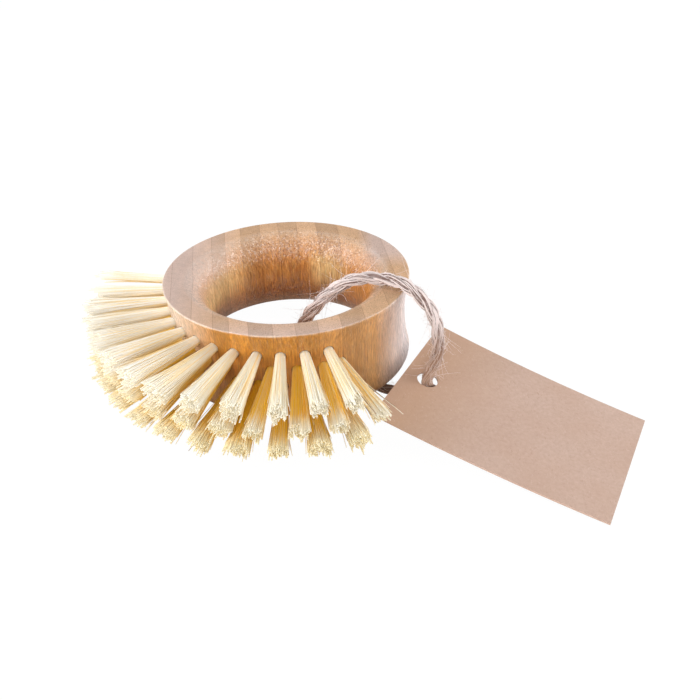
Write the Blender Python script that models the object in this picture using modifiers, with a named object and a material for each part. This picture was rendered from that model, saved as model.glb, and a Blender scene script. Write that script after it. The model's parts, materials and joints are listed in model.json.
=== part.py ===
"""A bamboo scrub brush, in metres, +Z up, at rest on a table.

The handle is one turned ring of glued bamboo strips. Three rows of fibre tufts sit in blind holes
in its outer wall, over a little more than a third of a turn. A loop of jute twine goes through the
ring and carries a card tag. The twine lies under the ring, which therefore stands a little tilted.

The origin is the middle of the ring and tufts, at the table. Places on the twine and the tag are
measured from the ring's axis.
"""

import math
import random

import bmesh
import bpy
import numpy as np
from mathutils import Euler, Matrix, Quaternion, Vector

# Ring handle
RING_RADIUS = 0.0375
RING_HEIGHT = 0.027
WAIST_DEPTH = 0.0017  # how far the outer wall is drawn in at half height
FOOT_FLARE = 0.0006  # how much farther out the wall stands at the foot than at the top
RING_WALL = 0.0134  # from the top edge in to the finger hole, where the hole is narrowest
FACE_WIDTH = 0.0052  # flat of each face, from the outer wall to where the hole's curve starts
TOP_ROUNDING = 0.0004
FOOT_ROUNDING = 0.0017
RING_STEPS = 64
WALL_STEPS = 8
HOLE_STEPS = 14
CORNER_STEPS = 2

# Tufts: each is a plug of folded fibre in a blind hole, with strands that fan out from it
TUFTS_PER_ROW = 13
TUFT_STEP = math.radians(10.58)
FIRST_TUFT_ANGLE = math.radians(-69.3)
MIDDLE_ROW_LEAD = math.radians(6.02)  # how far the middle row is turned ahead of the others
TUFT_LENGTH = 0.025  # from the wall to the tips in the upper row
PLUG_DIAMETER = 0.0035
PLUG_DEPTH = 0.0072  # how far a plug reaches into the wall
PLUG_STAND = 0.0004  # how far it stands out of the wall
SEAT_GAP = 0.0003  # clearance round a plug and under it
TIP_SPREAD = 0.0054  # diameter of a tuft at its tips
STRAND_ROOT_RADIUS = 0.00033
STRAND_TIP_RADIUS = 0.00042
STRAND_SIDES = 3
PLUG_SIDES = 8
SOCKET_SIDES = 10
LENGTH_JITTER_SHARE = 0.045
SIDE_JITTER_SHARE = 0.07
CUT_OVERRUN = 0.004
VARIANTS = 3  # unlike tufts that a row repeats

# Each row: name, turn ahead, root depth as a share of the ring's height, slope down in degrees,
# and length as a share of the upper row's
ROWS = (
    ("upper", 0.0, 0.267, 1.2, 1.0),
    ("middle", MIDDLE_ROW_LEAD, 0.448, 10.7, 0.928),
    ("lower", 0.0, 0.630, 12.0, 0.960),
)
# Each ring of strands in a tuft: how many, and its radius as a share of the plug's
STRAND_RING_SHARES = ((3, 0.30), (7, 0.76))

# Twine loop and its knot
TWINE_DIAMETER = 0.00375
FLOOR_GAP = 0.00005  # what the model keeps between the table and whatever lies on it
REST_GAP = 0.0004  # what it keeps between the ring and the twine under it
TWINE_REACH = 0.02905  # from the ring's axis to the place where the twine carries it
LOOP_POINTS = 30
TWINE_RESOLUTION = 2
KNOT_CENTRE = Vector((0.0438, -0.0284, 0.0042))
KNOT_RADIUS = 0.0040
KNOT_SEGMENTS = 16
KNOT_RINGS = 10
TAIL_DIAMETER = 0.0030
TAIL_LENGTH = 0.0095  # from the knot's middle to the end of each tail
TAIL_ANGLES = (math.radians(-75), math.radians(-20))
TAIL_DROP = math.radians(12)
TAIL_SIDES = 8
# From the top of the knot, up through the tag's hole, over the ring, down through its finger
# hole, back under the ring and to the side of the knot
TWINE_ROUTE = (
    Vector((0.0430, -0.0283, 0.0085)),
    Vector((0.0425, -0.0279, 0.0101)),
    Vector((0.0432, -0.0270, 0.0125)),
    Vector((0.0450, -0.0243, 0.0165)),
    Vector((0.0449, -0.0223, 0.0220)),
    Vector((0.0432, -0.0194, 0.0271)),
    Vector((0.0392, -0.0170, 0.0316)),
    Vector((0.0336, -0.0129, 0.0338)),
    Vector((0.0264, -0.0096, 0.0331)),
    Vector((0.0191, -0.0102, 0.0323)),
    Vector((0.0133, -0.0106, 0.0283)),
    Vector((0.0090, -0.0109, 0.0235)),
    Vector((0.0062, -0.0102, 0.0185)),
    Vector((0.0056, -0.0099, 0.0135)),
    Vector((0.0066, -0.0100, 0.0090)),
    Vector((0.0095, -0.0110, 0.0050)),
    Vector((0.0140, -0.0130, 0.0027)),
    Vector((0.0190, -0.0155, 0.00195)),
    Vector((0.0250, -0.0183, 0.00194)),
    Vector((0.0310, -0.0210, 0.00194)),
    Vector((0.0360, -0.0236, 0.0021)),
    Vector((0.0404, -0.0263, 0.0033)),
)

# Card tag, seen from its hole: X runs along it, away from the ring, and Y across it
TAG_LENGTH = 0.0675
TAG_WIDTH = 0.049
TAG_THICKNESS = 0.0005
TAG_HOLE_DIAMETER = 0.0062
TAG_HOLE_INSET = 0.00685  # from the tag's near end to the hole's centre
TAG_HOLE_OFFSET = 0.0014  # from the tag's middle line to the hole's centre
TAG_HOLE_PLACE = Vector((0.0424, -0.0279, 0.0099))
TAG_YAW = math.radians(-27)
TAG_SLOPE = math.radians(9.45)
TAG_ROLL = math.radians(3.3)  # at its near end; the far end lies level
TAG_SAG = 0.0010
TAG_CELLS = (12, 6)
TAG_HOLE_SIDES = 20

MERGE_DISTANCE = 0.000005


def clear_scene():
    for obj in list(bpy.data.objects):
        bpy.data.objects.remove(obj, do_unlink=True)


def new_collection(name):
    collection = bpy.data.collections.new(name)
    bpy.context.scene.collection.children.link(collection)
    return collection


def new_material(name, colour, roughness):
    material = bpy.data.materials.new(name)
    material.use_nodes = True
    shader = material.node_tree.nodes["Principled BSDF"]
    shader.inputs["Base Color"].default_value = (*colour, 1.0)
    shader.inputs["Roughness"].default_value = roughness
    shader.inputs["Metallic"].default_value = 0.0
    return material


def new_object(name, data, collection, material=None):
    obj = bpy.data.objects.new(name, data)
    collection.objects.link(obj)
    if material and not data.materials:
        data.materials.append(material)
    return obj


def new_frame(name, collection, parent=None):
    frame = bpy.data.objects.new(name, None)
    collection.objects.link(frame)
    frame.parent = parent
    return frame


def new_cutter(name, mesh, collection):
    cutter = new_object(name, mesh, collection)
    cutter.hide_render = True
    cutter.display_type = "WIRE"
    return cutter


def add_boolean(obj, other, operation):
    boolean = obj.modifiers.new(operation.lower(), "BOOLEAN")
    boolean.operation = operation
    boolean.solver = "EXACT"
    boolean.object = other


def smooth(mesh, angle):
    mesh.shade_smooth()
    mesh.set_sharp_from_angle(angle=math.radians(angle))


def evaluated_mesh(obj):
    bpy.context.view_layer.update()
    graph = bpy.context.evaluated_depsgraph_get()
    return bpy.data.meshes.new_from_object(obj.evaluated_get(graph))


def parent_in_place(obj, frame):
    """Parents an object whose own coordinates are the part's."""
    obj.parent = frame
    obj.matrix_parent_inverse = frame.matrix_basis.inverted()


# Ring handle


def wall_radius(depth):
    """Radius of the outer wall at a depth below the top face: drawn in between the two faces."""
    from_middle = 2 * depth / RING_HEIGHT - 1
    waist = WAIST_DEPTH * (1 - from_middle**2)
    return RING_RADIUS + FOOT_FLARE * depth / RING_HEIGHT - waist


def foot_radius():
    """Radius of the edge that the ring stands on: where the rounding meets the lower face."""
    return wall_radius(RING_HEIGHT - FOOT_ROUNDING) - FOOT_ROUNDING


def tilt():
    """The ring stands on one edge and, across from it, on the twine."""
    lift = TWINE_DIAMETER + FLOOR_GAP + REST_GAP
    return math.asin(lift / (foot_radius() + TWINE_REACH))


def corner(radius, depth, size, start):
    """A quarter turn round a centre, outwards and down from the given angle."""
    turns = np.linspace(start, start - math.pi / 2, CORNER_STEPS + 1)
    return [(radius + size * math.cos(a), -depth + size * math.sin(a)) for a in turns]


def ring_profile():
    """The section of the ring as (radius, height) points, down the outer wall and up the hole."""
    top_inner = RING_RADIUS - FACE_WIDTH
    foot_inner = top_inner + FOOT_FLARE
    hole = RING_RADIUS - RING_WALL
    points = [(top_inner, 0.0)]
    points += corner(wall_radius(TOP_ROUNDING) - TOP_ROUNDING, TOP_ROUNDING, TOP_ROUNDING, math.pi / 2)
    depths = np.linspace(TOP_ROUNDING, RING_HEIGHT - FOOT_ROUNDING, WALL_STEPS + 1)[1:-1]
    points += [(wall_radius(depth), -depth) for depth in depths]
    foot_depth = RING_HEIGHT - FOOT_ROUNDING
    points += corner(foot_radius(), foot_depth, FOOT_ROUNDING, 0.0)
    half = RING_HEIGHT / 2
    for turn in np.linspace(-math.pi / 2, math.pi / 2, HOLE_STEPS + 1)[:-1]:
        inner = foot_inner if turn < 0 else top_inner
        radius = inner - (inner - hole) * math.cos(turn)
        points.append((radius, -half + half * math.sin(turn)))
    return points


def make_ring(frame, collection, material, cutters):
    mesh = bpy.data.meshes.new("ring_handle")
    form = bmesh.new()
    corners = [form.verts.new((radius, 0.0, height)) for radius, height in ring_profile()]
    for here, there in zip(corners, corners[1:] + corners[:1]):
        form.edges.new((here, there))
    form.to_mesh(mesh)
    form.free()
    ring = new_object("ring_handle", mesh, collection, material)
    ring.parent = frame
    screw = ring.modifiers.new("turned", "SCREW")
    screw.axis = "Z"
    screw.steps = RING_STEPS
    screw.render_steps = RING_STEPS
    screw.use_merge_vertices = True
    screw.merge_threshold = MERGE_DISTANCE
    screw.use_smooth_shade = True
    sockets = make_socket_cutter(cutters)
    sockets.parent = frame
    add_boolean(ring, sockets, "DIFFERENCE")
    return ring


# Tufts


def tuft_placements():
    """Yields the row, the number in it, and the matrix from a tuft's frame to the ring's.

    A tuft's frame has its origin where its axis leaves the wall, and +Z along the strands.
    """
    for row, (_, lead, depth_share, slope, _) in enumerate(ROWS):
        depth = depth_share * RING_HEIGHT
        for number in range(TUFTS_PER_ROW):
            angle = FIRST_TUFT_ANGLE + lead - TUFT_STEP * number
            outwards = Vector((math.cos(angle), math.sin(angle), 0.0))
            place = outwards * wall_radius(depth)
            place.z = -depth
            fall = math.radians(slope)
            along = outwards * math.cos(fall) - Vector((0.0, 0.0, math.sin(fall)))
            turn = Quaternion(along, number * math.radians(77)) @ along.to_track_quat("Z", "Y")
            yield row, number, Matrix.LocRotScale(place, turn, None)


def add_cylinder(form, radius, bottom, top, sides, place=Matrix(), top_radius=None):
    """Adds a closed cylinder or cone from one height of its own axis to another."""
    middle = Matrix.Translation((0.0, 0.0, (bottom + top) / 2))
    bmesh.ops.create_cone(
        form,
        cap_ends=True,
        segments=sides,
        radius1=radius,
        radius2=radius if top_radius is None else top_radius,
        depth=top - bottom,
        matrix=place @ middle,
    )


def make_socket_cutter(collection):
    """The blind holes of all the tufts, as one cutter."""
    form = bmesh.new()
    radius = PLUG_DIAMETER / 2 + SEAT_GAP
    for _, _, place in tuft_placements():
        add_cylinder(form, radius, -PLUG_DEPTH - SEAT_GAP, CUT_OVERRUN, SOCKET_SIDES, place)
    mesh = bpy.data.meshes.new("tuft_sockets")
    form.to_mesh(mesh)
    form.free()
    return new_cutter("tuft_sockets", mesh, collection)


def strand_lines(length, draw):
    """Root, tip and twist of each strand in a tuft's frame. They spread evenly, so none cross."""
    plug = PLUG_DIAMETER / 2
    tip_share = (TIP_SPREAD / 2 - STRAND_TIP_RADIUS) / (plug * STRAND_RING_SHARES[-1][1])
    for ring, (count, share) in enumerate(STRAND_RING_SHARES):
        for number in range(count):
            angle = math.tau * (number + ring / 2) / count
            side = Vector((math.cos(angle), math.sin(angle), 0.0)) * plug * share
            reach = length * (1 - draw.uniform(0, 2 * LENGTH_JITTER_SHARE) + LENGTH_JITTER_SHARE)
            drift = Vector((draw.uniform(-1, 1), draw.uniform(-1, 1), 0.0))
            tip = side * tip_share + drift * SIDE_JITTER_SHARE * TIP_SPREAD
            tip.z = reach
            yield side, tip, draw.uniform(0, math.tau)


def make_tuft_mesh(name, length, seed, material):
    """One tuft: its strands, joined to the plug that the fold of the fibre fills."""
    draw = random.Random(seed)
    strands = bmesh.new()
    for root, tip, twist in strand_lines(length, draw):
        along = tip - root
        turn = Quaternion(along.normalized(), twist) @ along.to_track_quat("Z", "Y")
        place = Matrix.LocRotScale(root, turn, None)
        add_cylinder(strands, STRAND_ROOT_RADIUS, -PLUG_STAND, along.length, STRAND_SIDES, place,
                     STRAND_TIP_RADIUS)
    strand_mesh = bpy.data.meshes.new("strands")
    strands.to_mesh(strand_mesh)
    strands.free()

    plug = bmesh.new()
    add_cylinder(plug, PLUG_DIAMETER / 2, -PLUG_DEPTH, PLUG_STAND, PLUG_SIDES)
    plug_mesh = bpy.data.meshes.new("plug")
    plug.to_mesh(plug_mesh)
    plug.free()

    scene = bpy.context.scene.collection
    plug_object = new_object("plug", plug_mesh, scene)
    strand_object = new_object("strands", strand_mesh, scene)
    add_boolean(plug_object, strand_object, "UNION")
    mesh = evaluated_mesh(plug_object)
    mesh.name = name
    mesh.materials.clear()
    mesh.materials.append(material)
    bpy.data.objects.remove(plug_object)
    bpy.data.objects.remove(strand_object)
    smooth(mesh, 50)
    return mesh


def make_tufts(frame, collection, material):
    meshes = {}
    for row, (name, _, _, _, length_share) in enumerate(ROWS):
        for variant in range(VARIANTS):
            length = TUFT_LENGTH * length_share
            seed = row * VARIANTS + variant
            meshes[row, variant] = make_tuft_mesh(f"tuft_{name}_{variant}", length, seed, material)
    tufts = []
    for row, number, place in tuft_placements():
        name = f"tuft_{ROWS[row][0]}_{number + 1:02d}"
        tuft = new_object(name, meshes[row, number % VARIANTS], collection)
        tuft.parent = frame
        tuft.matrix_basis = place
        tufts.append(tuft)
    return tufts


# Twine


def smooth_route(route, count):
    """Evenly spaced points on a smooth curve through the route's points."""
    points = np.array([tuple(point) for point in route])
    points = np.vstack([2 * points[0] - points[1], points, 2 * points[-1] - points[-2]])
    fine = []
    for a, b, c, d in zip(points, points[1:], points[2:], points[3:]):
        for t in np.linspace(0, 1, 24, endpoint=False):
            bend = (2 * a - 5 * b + 4 * c - d) * t**2 + (3 * b - a - 3 * c + d) * t**3
            fine.append((2 * b + (c - a) * t + bend) / 2)
    fine.append(points[-2])
    fine = np.array(fine)
    along = np.concatenate([[0], np.cumsum(np.linalg.norm(np.diff(fine, axis=0), axis=1))])
    places = np.linspace(0, along[-1], count)
    even = np.column_stack([np.interp(places, along, fine[:, axis]) for axis in range(3)])
    return even, along[-1]


def make_twine(frame, collection, material):
    points, length = smooth_route(TWINE_ROUTE, LOOP_POINTS)
    print(f"twine loop: {length * 1000:.1f} mm between the knot's faces")
    curve = bpy.data.curves.new("twine_loop", "CURVE")
    curve.dimensions = "3D"
    curve.bevel_depth = TWINE_DIAMETER / 2
    curve.bevel_resolution = TWINE_RESOLUTION
    curve.use_fill_caps = True
    spline = curve.splines.new("POLY")
    spline.points.add(len(points) - 1)
    for spot, point in zip(spline.points, points):
        spot.co = (*point, 1.0)
    spline.use_smooth = True
    twine = new_object("twine_loop", curve, collection, material)
    parent_in_place(twine, frame)


def make_knot(frame, collection, material):
    """The knot that closes the loop: a round lump with its two cut tails lying on the table."""
    form = bmesh.new()
    bmesh.ops.create_uvsphere(
        form, u_segments=KNOT_SEGMENTS, v_segments=KNOT_RINGS, radius=KNOT_RADIUS
    )
    lump = bpy.data.meshes.new("twine_knot")
    form.to_mesh(lump)
    form.free()
    tails = bmesh.new()
    drop = KNOT_CENTRE.z - FLOOR_GAP - TAIL_DIAMETER / 2
    root = Vector((0.0, 0.0, -drop + TAIL_LENGTH * math.sin(TAIL_DROP)))
    for angle in TAIL_ANGLES:
        along = Euler((0.0, math.pi / 2 + TAIL_DROP, angle)).to_quaternion()
        place = Matrix.LocRotScale(root, along, None)
        add_cylinder(tails, TAIL_DIAMETER / 2, 0.0, TAIL_LENGTH, TAIL_SIDES, place)
    tail_mesh = bpy.data.meshes.new("tails")
    tails.to_mesh(tail_mesh)
    tails.free()

    scene = bpy.context.scene.collection
    lump_object = new_object("lump", lump, scene)
    tail_object = new_object("tails", tail_mesh, scene)
    add_boolean(lump_object, tail_object, "UNION")
    mesh = evaluated_mesh(lump_object)
    mesh.name = "twine_knot"
    bpy.data.objects.remove(lump_object)
    bpy.data.objects.remove(tail_object)
    smooth(mesh, 60)
    knot = new_object("twine_knot", mesh, collection, material)
    knot.location = KNOT_CENTRE
    parent_in_place(knot, frame)


# Tag


def tag_height(x, y):
    """How far the card stands off its flat plane: it sags along its length, and is a little twisted."""
    share = (x + TAG_HOLE_INSET) / TAG_LENGTH
    hole_share = TAG_HOLE_INSET / TAG_LENGTH
    sag = TAG_SAG * 4 * (share * (1 - share) - hole_share * (1 - hole_share))
    twist = math.tan(TAG_ROLL) * (share - hole_share) / (1 - hole_share)
    return -sag - twist * y


def make_tag(frame, collection, material, cutters):
    form = bmesh.new()
    along, across = TAG_CELLS
    bmesh.ops.create_grid(form, x_segments=along, y_segments=across, size=1)
    for vert in form.verts:
        x = (vert.co.x + 1) / 2 * TAG_LENGTH - TAG_HOLE_INSET
        y = vert.co.y * TAG_WIDTH / 2 + TAG_HOLE_OFFSET
        vert.co = (x, y, tag_height(x, y))
    mesh = bpy.data.meshes.new("swing_tag")
    form.to_mesh(mesh)
    form.free()
    tag = new_object("swing_tag", mesh, collection, material)
    tag.parent = frame
    card = tag.modifiers.new("card", "SOLIDIFY")
    card.thickness = TAG_THICKNESS
    card.offset = 0
    hole = bmesh.new()
    add_cylinder(hole, TAG_HOLE_DIAMETER / 2, -CUT_OVERRUN, CUT_OVERRUN, TAG_HOLE_SIDES)
    hole_mesh = bpy.data.meshes.new("tag_hole")
    hole.to_mesh(hole_mesh)
    hole.free()
    cutter = new_cutter("tag_hole", hole_mesh, cutters)
    cutter.parent = frame
    add_boolean(tag, cutter, "DIFFERENCE")


def place_part(part_frame, pieces):
    """Moves the part so that the box of its ring and tufts stands on the origin, by its middle."""
    bpy.context.view_layer.update()
    graph = bpy.context.evaluated_depsgraph_get()
    corners = []
    for piece in pieces:
        evaluated = piece.evaluated_get(graph)
        mesh = evaluated.to_mesh()
        points = np.empty(len(mesh.vertices) * 3)
        mesh.vertices.foreach_get("co", points)
        world = np.array(evaluated.matrix_world)
        points = points.reshape(-1, 3) @ world[:3, :3].T + world[:3, 3]
        corners += [points.min(axis=0), points.max(axis=0)]
        evaluated.to_mesh_clear()
    low = np.min(corners, axis=0)
    high = np.max(corners, axis=0)
    middle = (low + high) / 2
    part_frame.location = (-middle[0], -middle[1], -low[2])
    print("ring axis at", [round(value * 1000, 3) for value in part_frame.location], "mm")


def main():
    clear_scene()
    collection = new_collection("bamboo_scrub_brush")
    cutters = new_collection("cutters")
    bamboo = new_material("bamboo", (0.62, 0.38, 0.20), 0.45)
    fibre = new_material("fibre", (0.85, 0.74, 0.50), 0.6)
    jute = new_material("jute", (0.45, 0.35, 0.24), 0.9)
    card = new_material("card", (0.56, 0.38, 0.28), 0.85)

    part_frame = new_frame("part_frame", collection)
    ring_frame = new_frame("ring_frame", collection, part_frame)
    lean = tilt()
    ring_frame.location.z = foot_radius() * math.sin(lean) + RING_HEIGHT * math.cos(lean)
    ring_frame.rotation_euler.y = -lean
    ring = make_ring(ring_frame, collection, bamboo, cutters)
    tufts = make_tufts(ring_frame, collection, fibre)

    loop_frame = new_frame("loop_frame", collection, part_frame)
    loop_frame.matrix_basis = ring_frame.matrix_basis
    make_twine(loop_frame, collection, jute)
    make_knot(loop_frame, collection, jute)

    tag_frame = new_frame("tag_frame", collection)
    tag_frame.location = TAG_HOLE_PLACE
    tag_frame.rotation_euler = (TAG_ROLL, TAG_SLOPE, TAG_YAW)
    parent_in_place(tag_frame, loop_frame)
    make_tag(tag_frame, collection, card, cutters)

    place_part(part_frame, [ring, *tufts])


main()
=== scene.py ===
"""Looks of the bamboo scrub brush: the turned ring, its fibre tufts, the jute twine and the card tag.

Lengths are in metres, or in millimetres where a name ends in _mm. Materials measure in millimetres
too, in their piece's own frame. The ring's frame has its origin in the middle of the ring's top face
and +Z along the ring's axis.
"""

import json
import math
import random

import bmesh
import bpy
import numpy as np
from mathutils import Euler, Matrix, Quaternion, Vector


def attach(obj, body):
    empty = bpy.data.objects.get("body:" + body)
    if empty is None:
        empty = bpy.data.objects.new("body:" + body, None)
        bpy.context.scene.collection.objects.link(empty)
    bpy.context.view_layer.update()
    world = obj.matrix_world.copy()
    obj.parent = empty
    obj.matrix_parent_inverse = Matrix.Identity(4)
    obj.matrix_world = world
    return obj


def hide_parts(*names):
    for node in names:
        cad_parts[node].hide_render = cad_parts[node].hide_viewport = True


MM = 0.001

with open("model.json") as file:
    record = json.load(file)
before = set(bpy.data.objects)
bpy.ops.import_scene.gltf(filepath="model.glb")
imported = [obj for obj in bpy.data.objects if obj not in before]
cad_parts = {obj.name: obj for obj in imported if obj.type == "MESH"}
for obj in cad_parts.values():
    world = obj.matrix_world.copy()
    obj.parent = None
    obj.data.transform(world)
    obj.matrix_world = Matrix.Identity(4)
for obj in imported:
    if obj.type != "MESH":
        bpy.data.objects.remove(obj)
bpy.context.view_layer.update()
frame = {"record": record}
joints = {joint["name"]: joint for joint in frame["record"]["behaviour"]["joints"]}


# Places and sizes, as the solids have them

RING_TOP = Vector(joints["loop_slide"]["pos_m"])
RING_AXIS = Vector(joints["loop_slide"]["axis"]).normalized()
RING_RADIUS = 0.0375
RING_HEIGHT = 0.027
WAIST_DEPTH = 0.0017
FOOT_FLARE = 0.0006
RING_WALL = 0.0134
FACE_WIDTH = 0.0052
TOP_ROUNDING = 0.0004
FOOT_ROUNDING = 0.0017

TUFTS_PER_ROW = 13
TUFT_STEP = math.radians(10.58)
FIRST_TUFT_ANGLE = math.radians(-69.3)
MIDDLE_ROW_LEAD = math.radians(6.02)
TUFT_LENGTH = 0.025
# Each row: name, turn ahead, root depth as a share of the ring's height, slope down in degrees,
# and length as a share of the upper row's
ROWS = (
    ("upper", 0.0, 0.267, 1.2, 1.0),
    ("middle", MIDDLE_ROW_LEAD, 0.448, 10.7, 0.928),
    ("lower", 0.0, 0.630, 12.0, 0.960),
)
# How single tufts stray from their rows, in millimetres: sideways at the root, sideways, up and
# outwards at the tips, and the tips' radius
STRAYS_MM = {
    ("upper", 0): (0.0, -1.9, -0.5, 0.0, 2.25),
    ("upper", 1): (0.0, 0.0, 0.0, 0.0, 2.3),
    ("upper", 2): (0.0, 0.75, -0.6, 0.0, 2.5),
    ("upper", 3): (0.0, 0.0, 0.0, 0.0, 2.95),
    ("upper", 5): (0.0, 0.0, 0.0, 0.0, 3.45),
    ("upper", 6): (0.0, 0.0, 0.0, -0.6, 3.5),
    ("upper", 7): (0.0, 0.0, 0.0, -1.0, 3.4),
    ("upper", 8): (0.0, 0.0, 0.0, -1.4, 3.3),
    ("upper", 9): (0.0, 0.5, -0.5, -1.4, 3.2),
    ("upper", 10): (0.0, 0.8, -0.7, -1.2, 3.1),
    ("upper", 11): (0.0, 1.1, -0.9, -1.0, 2.6),
    ("upper", 12): (0.0, 1.4, -0.5, 3.0, 1.05),
    ("middle", 0): (0.0, 0.55, 0.0, 0.0, 2.4),
    ("middle", 1): (1.3, -0.65, 0.0, 0.0, 2.5),
    ("middle", 2): (0.55, -0.45, 0.0, 0.0, 2.6),
    ("middle", 3): (0.0, -1.6, 0.0, 0.0, 2.5),
    ("lower", 2): (0.0, 0.0, 0.0, 0.0, 2.45),
    ("lower", 3): (0.0, 0.0, 0.0, 0.0, 3.2),
}
TIP_RADIUS_MM = 3.1
TUFT_TWIST = math.radians(77)  # from a tuft to the next, about its own length

KNOT_CENTRE = Vector((0.0438, -0.0284, 0.0042))
TWINE_ROUTE = (
    (0.0428, -0.0283, 0.0085),
    (0.0421, -0.0280, 0.0101),
    (0.0432, -0.0270, 0.0125),
    (0.0450, -0.0243, 0.0165),
    (0.0449, -0.0223, 0.0220),
    (0.0432, -0.0194, 0.0271),
    (0.0392, -0.0170, 0.0316),
    (0.0336, -0.0129, 0.0338),
    (0.0264, -0.0096, 0.0331),
    (0.0191, -0.0102, 0.0323),
    (0.0133, -0.0106, 0.0283),
    (0.0090, -0.0109, 0.0235),
    (0.0062, -0.0102, 0.0185),
    (0.0056, -0.0099, 0.0135),
    (0.0066, -0.0100, 0.0090),
    (0.0095, -0.0110, 0.0050),
    (0.0140, -0.0130, 0.0027),
    (0.0190, -0.0155, 0.00195),
    (0.0250, -0.0183, 0.00194),
    (0.0310, -0.0210, 0.00194),
    (0.0360, -0.0236, 0.0021),
    (0.0404, -0.0263, 0.0033),
)

TAG_LENGTH = 0.0675
TAG_WIDTH = 0.049
TAG_THICKNESS = 0.0005
TAG_HOLE_DIAMETER = 0.0062
TAG_HOLE_INSET = 0.00685
TAG_HOLE_OFFSET = 0.0014
TAG_ROLL = math.radians(3.3)
TAG_TURN = Euler((TAG_ROLL, math.radians(9.45), math.radians(-27)))
TAG_HOLE_PLACE = Vector(joints["tag_swing"]["pos_m"])
TAG_SAG = 0.001


def ring_frame():
    """The matrix from the ring's frame to the scene's."""
    sideways = Vector((0.0, 1.0, 0.0))
    forwards = sideways.cross(RING_AXIS).normalized()
    turn = Matrix((forwards, sideways, RING_AXIS)).transposed()
    return Matrix.Translation(RING_TOP) @ turn.to_4x4()


RING_FRAME = ring_frame()
ROUTE_ORIGIN = Vector((RING_TOP.x, RING_TOP.y, 0.0))  # the twine's points are measured from here


# Short calls for materials


def on_screen(red, green, blue):
    """A colour as it looks on screen, 0 to 255, as the linear values that shaders take."""
    linear = []
    for value in (red, green, blue):
        share = value / 255
        linear.append(share / 12.92 if share <= 0.04045 else ((share + 0.055) / 1.055) ** 2.4)
    return (*linear, 1.0)


class Look:
    """A material in the making."""

    def __init__(self, name, **fixed):
        self.material = bpy.data.materials.new(name)
        self.material.use_nodes = True
        self.tree = self.material.node_tree
        self.shader = self.tree.nodes["Principled BSDF"]
        for socket, value in fixed.items():
            self.shader.inputs[socket.replace("_", " ")].default_value = value

    def feed(self, socket, value):
        """Links a socket into another, or sets it to a value."""
        if isinstance(value, bpy.types.NodeSocket):
            self.tree.links.new(value, socket)
        else:
            socket.default_value = value

    def node(self, kind, inputs, out=0, **settings):
        """One output of a new node."""
        node = self.tree.nodes.new(f"ShaderNode{kind}")
        for name, value in settings.items():
            setattr(node, name, value)
        for place, value in inputs.items():
            self.feed(node.inputs[place], value)
        return node.outputs[out]

    def drive(self, socket, value):
        """Feeds one of the shader's own sockets."""
        self.feed(self.shader.inputs[socket], value)

    def place(self):
        """The object's own coordinates in millimetres."""
        return self.stretch(self.node("TexCoord", {}, "Object"), (1 / MM, 1 / MM, 1 / MM))

    def stretch(self, vector, scale):
        return self.node("VectorMath", {0: vector, 1: scale}, operation="MULTIPLY")

    def split(self, vector):
        node = self.tree.nodes.new("ShaderNodeSeparateXYZ")
        self.feed(node.inputs[0], vector)
        return node.outputs

    def normal(self):
        return self.node("TexCoord", {}, "Normal")

    def value(self, name):
        """A value that the mesh keeps at its corners."""
        return self.node("Attribute", {}, "Fac", attribute_name=name)

    def math(self, operation, *values, clamp=False):
        return self.node("Math", dict(enumerate(values)), operation=operation, use_clamp=clamp)

    def noise(self, vector, scale, detail=2.0, roughness=0.5, distortion=0.0):
        inputs = {"Vector": vector, "Scale": scale, "Detail": detail, "Roughness": roughness,
                  "Distortion": distortion}
        return self.node("TexNoise", inputs, "Fac")

    def cells(self, vector, scale, randomness):
        """How far a point is from the middle of its cell."""
        inputs = {"Vector": vector, "Scale": scale, "Randomness": randomness}
        return self.node("TexVoronoi", inputs, "Distance", feature="F1")

    def spread(self, value, low, high, to_low=0.0, to_high=1.0):
        """Maps low..high to to_low..to_high, and holds it there outside."""
        inputs = {"Value": value, "From Min": low, "From Max": high, "To Min": to_low,
                  "To Max": to_high}
        return self.node("MapRange", inputs, "Result", clamp=True)

    def mix(self, share, first, second, blend="MIX"):
        inputs = {0: share, 6: first, 7: second}
        return self.node("Mix", inputs, 2, data_type="RGBA", blend_type=blend)

    def steps(self, share, stops):
        """A value read off a table of (place, value) stops, held from each stop to the next."""
        node = self.tree.nodes.new("ShaderNodeValToRGB")
        self.feed(node.inputs[0], share)
        ramp = node.color_ramp
        ramp.interpolation = "CONSTANT"
        while len(ramp.elements) > 1:
            ramp.elements.remove(ramp.elements[-1])
        ramp.elements[0].position = stops[0][0]
        for place, _ in stops[1:]:
            ramp.elements.new(place)
        for element, (_, value) in zip(ramp.elements, stops):
            element.color = (value, value, value, 1.0)
        return node.outputs[0]

    def bump(self, height, strength, depth):
        return self.node("Bump", {"Height": height, "Strength": strength, "Distance": depth})


# Short calls for shapes

NEARLY_UPRIGHT = 0.1  # the sine of the angle within which a line counts as upright


def lay_frames(line):
    """Two directions square to a line at each of its points, turning as little as they can."""
    line = np.asarray(line, float)
    along = np.gradient(line, axis=0)
    along /= np.linalg.norm(along, axis=1)[:, None]
    first = np.cross(along[0], (0.0, 0.0, 1.0))
    if np.linalg.norm(first) < NEARLY_UPRIGHT:
        first = np.cross(along[0], (0.0, 1.0, 0.0))
    first /= np.linalg.norm(first)
    firsts = [first]
    for direction in along[1:]:
        first = first - direction * (first @ direction)
        first /= np.linalg.norm(first)
        firsts.append(first)
    firsts = np.array(firsts)
    return along, firsts, np.cross(along, firsts)


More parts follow.
